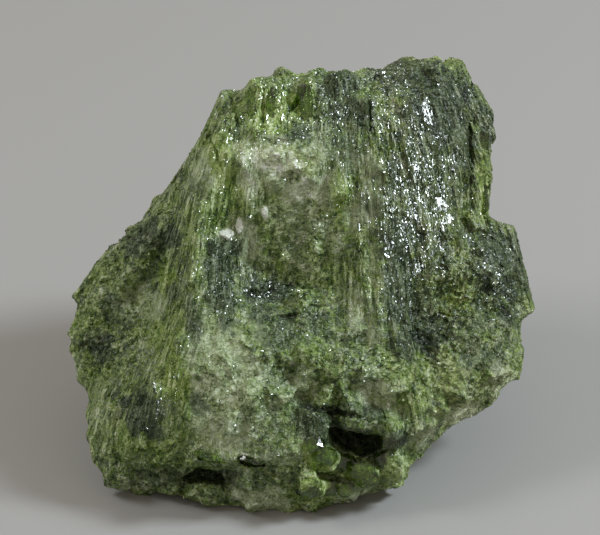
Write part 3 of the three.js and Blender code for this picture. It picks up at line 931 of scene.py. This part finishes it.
# The share that each pattern has in the tone, and what grain and relief add to it. The relief's height is
# painted shade: it darkens hollows and lightens what stands out.
TONE_SHARES = {"lines": 0.25, "blotch": 0.12, "mottle": 0.07, "fine": 0.22, "sugar": 0.25, "facet": 0.13}
CHIP_TONE = 0.09
HEIGHT_TONE = 0.24
# Contrast of the tone, how much less it is where the stone is granular, and the even tone of pale patches,
# both chalk and painted light
CONTRAST = 1.3
GRAIN_CALM = 0.12
PALE_CALM = 0.42
PALE_TONE = 0.52
# What each kind of patch adds to the tone, and the even part that is taken from it. The lifts of pale
# patches are partly painted light, the lowering of dark patches partly painted shade.
PATCH_TONES = {"pale": 0.06, "crust_and_painted_light": 0.25, "bright": 0.02, "glow": 0.2, "dark": -0.035}
EVEN_TONE = -0.012

# Colours by tone: plain green, gem green, pale chalk green, which also gives the painted light of pale
# patches, and deep green, which also gives the painted shade of dark patches
PLAIN = [
    (0.32, (0.008, 0.021, 0.003)),
    (0.42, (0.043, 0.071, 0.026)),
    (0.50, (0.106, 0.139, 0.072)),
    (0.59, (0.222, 0.262, 0.166)),
    (0.72, (0.460, 0.505, 0.385)),
]
VIVID = [
    (0.34, (0.013, 0.036, 0.001)),
    (0.43, (0.049, 0.103, 0.001)),
    (0.51, (0.115, 0.185, 0.012)),
    (0.59, (0.208, 0.287, 0.056)),
    (0.67, (0.360, 0.430, 0.180)),
    (0.76, (0.600, 0.660, 0.420)),
]
CHALK_AND_PAINTED_LIGHT = [
    (0.34, (0.105, 0.135, 0.058)),
    (0.46, (0.218, 0.262, 0.142)),
    (0.58, (0.380, 0.430, 0.290)),
    (0.72, (0.640, 0.680, 0.560)),
]
DEEP = [
    (0.36, (0.004, 0.012, 0.002)),
    (0.48, (0.021, 0.039, 0.010)),
    (0.60, (0.083, 0.114, 0.050)),
    (0.72, (0.300, 0.330, 0.240)),
]
# Pools of gem green: waves in a metre, detail, where they begin and are full, and how full
POOLS = [
    (210.0, 3.0, 0.38, 0.68, 0.7),
    (1300.0, 2.0, 0.42, 0.68, 0.8),
    (3100.0, 1.0, 0.47, 0.64, 0.9),
]
# Pools are clean by the first share, less these for pale patches (chalk and painted light) and for dark
# patches (dark green and painted shade)
CLEAN = 0.82
PALE_HIDES = 0.5
DARK_HIDES = 0.3
# How strongly streaks and blotches break up a patch, the strengths at which it begins and is full, with the
# ragged part and without it, and the share that each kind of patch takes of the colour
BREAK = 1.3
RAGGED_SPAN = (0.1, 0.9)
MASK_SPAN = (0.0, 0.4)
PALE_SHARE = 0.9
BRIGHT_SHARE = 0.9
DARK_SHARE = 0.85
# Pits and clefts are deep green by this share
PIT_SPAN = (0.41, 0.34)
PIT_SHARE = 0.65
# The whitest chalk, and how specks and mottles make its edge ragged
WHITE_SPECK = 2.2
WHITE_MOTTLE = 2.6
WHITE_SPAN = (1.5, 1.62)
WHITE = (0.66, 0.67, 0.60, 1)
# The right of the stone is a little warmer than its left: a painted tint that offsets the bluish light of
# the right lamp
WARMER_SPAN = (5.0, 11.0)
WARMER = [(0.0, (0.96, 1.0, 0.99)), (1.0, (1.0, 0.965, 0.91))]

# The share of tiny faces along the cleavage: everywhere, for sheen, and more in bands of sheen
GLINTS = 0.03
SHEEN_GLINTS = 0.2
BAND_GLINTS = 0.36
BAND_SPAN = (0.5, 0.66)
# How far those faces stray from the cleavage, and how much less where the sheen is strong
STRAY = 0.24
STRAY_LESS = 0.2
# Roughness: the least, what wear and chalk add, and the least of a glinting face and how much they differ
DULL = 0.2
WEAR_ADDS = 0.5
CHALK_ADDS = 0.15
GLOSSY = 0.1
GLOSS_DIFFERS = 0.2


def surface_values(g):
    """What the mesh keeps at each point, and the point's place."""
    zones = g.node("ShaderNodeAttribute", {}, attribute_name="zones")
    pale, bright, dark = g.channels(zones.outputs["Color"])[:3]
    return SimpleNamespace(
        place=g.place(),
        fan=g.attribute("fan", "Vector"),
        pale=pale,
        bright=bright,
        dark=dark,
        sheen=zones.outputs["Alpha"],
        crust_and_painted_light=g.above_one(pale),
        glow=g.above_one(bright),
        grainy=g.attribute("grainy"),
        chip=g.attribute("chip"),
        height=g.attribute("height"),
    )


def add_patterns(g, here):
    """The patterns that give tone and direction. They follow the columns where the stone isn't granular."""

    def along_columns(scale, detail, roughness):
        return g.noise(g.scaled(here.fan, scale), 1.0, detail, roughness)

    here.blotch = g.noise(here.place, *BLOTCH)
    here.mottle = g.noise(here.place, *MOTTLE)
    here.speck = g.noise(here.place, *SPECK)
    here.sugar = g.noise(here.place, *SUGAR)
    here.lines = g.blend_value(here.grainy, along_columns(*STREAK), here.mottle)
    here.fine = g.blend_value(here.grainy, along_columns(*THREADS), here.speck)
    here.pits = g.blend_value(here.grainy, along_columns(*CLEFTS), g.noise(here.place, *PITS))
    here.bands = g.span(along_columns(*BANDS), *BAND_SPAN)
    here.faces = g.blend(here.grainy, g.cells(g.scaled(here.fan, STRANDS), 1.0), g.cells(here.place, FACING))
    here.facet = g.channels(here.faces)[2]
    here.fine_faces = g.cells(here.place, FACING_FINE)
    here.sparks = g.blend(here.grainy, g.cells(g.scaled(here.fan, SPARKS), 1.0), here.fine_faces)


def tone_of(g, here):
    """How light the stone is at each point, from 0 to 1."""
    tone = g.total([(getattr(here, name), share) for name, share in TONE_SHARES.items()])
    tone = g.add(tone, g.times(g.less(here.chip, 0.5), CHIP_TONE))
    tone = g.add(tone, g.times(g.less(here.height, 0.5), HEIGHT_TONE))
    contrast = g.less(CONTRAST, g.times(here.grainy, GRAIN_CALM))
    tone = g.add(0.5, g.times(g.less(tone, 0.5), contrast))
    tone = g.blend_value(g.times(g.up_to_one(here.pale), PALE_CALM), tone, PALE_TONE)
    # The patch lifts include painted light under the brow and painted shade in the pocket and recesses.
    lift = g.total([(getattr(here, name), share) for name, share in PATCH_TONES.items()])
    return g.add(tone, g.add(lift, EVEN_TONE))


def broken(g, here, mask, share):
    """The mask of a patch, broken up by the streaks and blotches of the stone."""
    ragged = g.add(mask, g.add(g.total([(here.lines, BREAK), (here.blotch, BREAK)]), -BREAK))
    return g.times(g.span(ragged, *RAGGED_SPAN), g.times(g.span(mask, *MASK_SPAN), share))


def colour_of(g, here):
    """The colour: plain green, with chalk and painted light, pools of gem green, dark patches and painted
    shade, pits and white grains.
    """
    tone = tone_of(g, here)
    plain, vivid, chalk_and_painted_light, deep = (g.ramp(tone, stops) for stops in (PLAIN, VIVID, CHALK_AND_PAINTED_LIGHT, DEEP))
    colour = g.blend(broken(g, here, here.pale, PALE_SHARE), plain, chalk_and_painted_light)
    clean = g.less(CLEAN, g.times(g.up_to_one(here.pale), PALE_HIDES))
    clean = g.less(clean, g.times(g.up_to_one(here.dark), DARK_HIDES))
    for scale, detail, low, high, most in POOLS:
        pools = g.span(g.noise(here.place, scale, detail), low, high)
        colour = g.blend(g.times(g.times(pools, clean), most), colour, vivid)
    colour = g.blend(broken(g, here, here.bright, BRIGHT_SHARE), colour, vivid)
    colour = g.blend(broken(g, here, here.dark, DARK_SHARE), colour, deep)
    colour = g.blend(g.times(g.span(here.pits, *PIT_SPAN), PIT_SHARE), colour, deep)
    grain = g.total([(here.speck, WHITE_SPECK), (here.mottle, WHITE_MOTTLE)])
    white = g.add(here.pale, g.less(grain, (WHITE_SPECK + WHITE_MOTTLE) / 2))
    colour = g.blend(g.span(white, *WHITE_SPAN), colour, WHITE)
    across = g.node("ShaderNodeSeparateXYZ", {"Vector": here.fan}).outputs["X"]
    return g.vector("MULTIPLY", colour, g.ramp(g.span(across, *WARMER_SPAN), WARMER))


def set_finish(g, here):
    """The direction and gloss of the tiny faces. A share of them lies along the cleavage, and glints."""
    chances = g.channels(here.sparks)
    streaks = g.times(g.times(here.bands, BAND_GLINTS), g.times(here.sheen, here.sheen))
    share = g.add(GLINTS, g.add(g.times(here.sheen, SHEEN_GLINTS), streaks))
    lucky = g.math("GREATER_THAN", chances[0], g.less(1.0, share))
    stray = g.less(STRAY, g.times(g.above_one(here.sheen), STRAY_LESS))
    cleavage = g.vector("ADD", g.scaled(g.centred(here.sparks), stray), CLEAVAGE)
    normal = g.tipped(g.tipped(g.normal(), here.faces, TIP), here.fine_faces, TIP_FINE)
    g.put(g.shader.inputs["Normal"], g.unit(g.blend_vector(lucky, normal, cleavage)))

    dull = g.add(DULL, g.times(g.noise(here.place, *WEAR), WEAR_ADDS))
    dull = g.add(dull, g.times(here.pale, CHALK_ADDS))
    glossy = g.add(GLOSSY, g.times(chances[1], GLOSS_DIFFERS))
    g.put(g.shader.inputs["Roughness"], g.blend_value(lucky, dull, glossy))
    g.shader.inputs["IOR"].default_value = DIOPSIDE_IOR
    g.shader.inputs["Specular IOR Level"].default_value = DIOPSIDE_GLOSS


def diopside_material():
    """The stone itself, in many greens, with tiny faces that glint."""
    g = Graph("diopside_crystal")
    here = surface_values(g)
    add_patterns(g, here)
    g.put(g.shader.inputs["Base Color"], colour_of(g, here))
    set_finish(g, here)
    return g.material


# Clear crystal: cells in a metre and how far they tip its surface, cloudiness, roughness and how much it
# differs, colours of the surface, and what the inside lets through
CLEAR_FACING = 2400.0
CLEAR_TIPPING = 0.35
CLEAR_CLOUD = (900.0, 4.0, 0.65)
CLEAR_ROUGHNESS = 0.03
CLOUD_ROUGHENS = 0.2
CLEAR_TINTS = [(0.35, (0.56, 0.68, 0.22)), (0.5, (0.70, 0.80, 0.38)), (0.68, (0.86, 0.92, 0.66))]
ABSORBED = (0.60, 0.80, 0.15, 1)
ABSORPTION = 900.0


def clear_material():
    """Clear green crystal: light passes through and is absorbed on the way."""
    g = Graph("clear_diopside")
    place = g.place()
    normal = g.tipped(g.normal(), g.cells(place, CLEAR_FACING), CLEAR_TIPPING)
    g.put(g.shader.inputs["Normal"], g.unit(normal))
    cloud = g.noise(place, *CLEAR_CLOUD)
    g.put(g.shader.inputs["Base Color"], g.ramp(cloud, CLEAR_TINTS))
    g.put(g.shader.inputs["Roughness"], g.add(CLEAR_ROUGHNESS, g.times(cloud, CLOUD_ROUGHENS)))
    g.shader.inputs["Transmission Weight"].default_value = 1.0
    g.shader.inputs["IOR"].default_value = DIOPSIDE_IOR
    inside = g.node("ShaderNodeVolumeAbsorption", {"Color": ABSORBED, "Density": ABSORPTION})
    g.tree.links.new(inside.outputs["Volume"], g.tree.nodes["Material Output"].inputs["Volume"])
    return g.material


def off_the_ground(middle, normal):
    """The weight of places for crystals: all of the stone, but not low at its foot."""
    return smoothstep(*OFF_GROUND, middle[:, 2])


def on_the_front(middle, normal):
    """The same, but only where the stone faces the front."""
    return smoothstep(*FACING_FRONT, normal @ OUT) * off_the_ground(middle, normal)


def dressed(piece, material):
    """The piece in its material, riding on the one body."""
    piece.data.materials.append(material)
    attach(piece, "root")
    return piece


def stone():
    """The skin in its four quarters, and the clear, fine and coarse crystals on it."""
    material = diopside_material()
    points, quads, looks = skin(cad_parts["diopside"])
    for piece in skin_pieces(points, quads, looks):
        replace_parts(dressed(piece, material), "diopside")
    dressed(clear_crystals(points, quads), clear_material())
    surface = points, np.concatenate([quads[:, [0, 1, 2]], quads[:, [0, 2, 3]]])
    for name, count, weight, size, seed in [
        ("fine_crystals", FINE_COUNT, on_the_front, FINE_SIZE, SEED),
        ("coarse_crystals", COARSE_COUNT, off_the_ground, COARSE_SIZE, SEED + 1),
    ]:
        dressed(crystals(name, surface, count, weight, size, seed), material)


# The floor: half its size, how far it lies below the stone so that the two don't touch, and its look
FLOOR_HALF = 3000
FLOOR_DROP = 0.02
FLOOR_NOISE = (3.0, 2.0)
FLOOR_ROUGHNESS = 0.6
FLOOR_TONES = [(0.3, (0.324, 0.324, 0.321)), (0.7, (0.334, 0.334, 0.331))]
# Name, azimuth and elevation in degrees, distance, size, power in watts, and colour
LAMPS = [
    ("lamp_right", 89.5, 42, 420, 90, 1.66, (0.85, 0.94, 1.0)),
    ("lamp_left", -87, 46, 420, 150, 0.65, (0.98, 0.98, 0.97)),
]
LAMP_TARGET = (0, 0, 0.015)
SURROUND = (0.435, 0.385, 0.335, 1)


def floor_material():
    """Plain pale grey, very slightly uneven."""
    g = Graph("studio_floor")
    shade = g.noise(g.place(), *FLOOR_NOISE)
    g.put(g.shader.inputs["Base Color"], g.ramp(shade, FLOOR_TONES))
    g.shader.inputs["Roughness"].default_value = FLOOR_ROUGHNESS
    return g.material


def direction(azimuth, elevation):
    """The direction from the stone to a lamp, for angles in radians. The front is at azimuth 0."""
    level = math.cos(elevation)
    return Vector((math.sin(azimuth) * level, -math.cos(azimuth) * level, math.sin(elevation)))


def studio():
    """A plain pale floor that runs far back, two soft side lights and a dim surround."""
    signs = ((-1, -1), (1, -1), (1, 1), (-1, 1))
    corners = np.array([(x * FLOOR_HALF, y * FLOOR_HALF, -FLOOR_DROP) for x, y in signs])
    floor = mesh_object("studio_floor", corners, np.array([(0, 1, 2, 3)]), {})
    floor.data.materials.append(floor_material())
    for name, azimuth, elevation, distance, size, power, colour in LAMPS:
        light = bpy.data.lights.new(name, "AREA")
        light.energy = power
        light.size = size * MM
        light.color = colour
        back = direction(math.radians(azimuth), math.radians(elevation))
        lamp = new_object(name, light)
        lamp.location = Vector(LAMP_TARGET) + back * distance * MM
        lamp.rotation_euler = back.to_track_quat("Z", "Y").to_euler()
    world = bpy.data.worlds.new("surround")
    world.use_nodes = True
    background = world.node_tree.nodes["Background"]
    background.inputs["Color"].default_value = SURROUND
    background.inputs["Strength"].default_value = 1.0
    bpy.context.scene.world = world


# A long lens and its sensor, the height on the front face that it looks at, and its distance in metres
LENS = 270
SENSOR = 36
LOOKS_AT = 23.75
EYE_DISTANCE = 0.45


def camera():
    """The photograph's viewpoint: a long lens that looks down on the front face."""
    data = bpy.data.cameras.new("camera")
    data.lens = LENS
    data.sensor_width = SENSOR
    data.clip_start = 0.01
    data.clip_end = 20
    back = Vector(OUT)
    eye = new_object("camera", data)
    eye.location = Vector((LOOKS_AT * SQUARE_UP + SHIFT) * MM) + back * EYE_DISTANCE
    eye.rotation_euler = back.to_track_quat("Z", "Y").to_euler()
    bpy.context.scene.camera = eye


camera()
studio()
stone()
bpy.context.scene.view_settings.view_transform = "Standard"
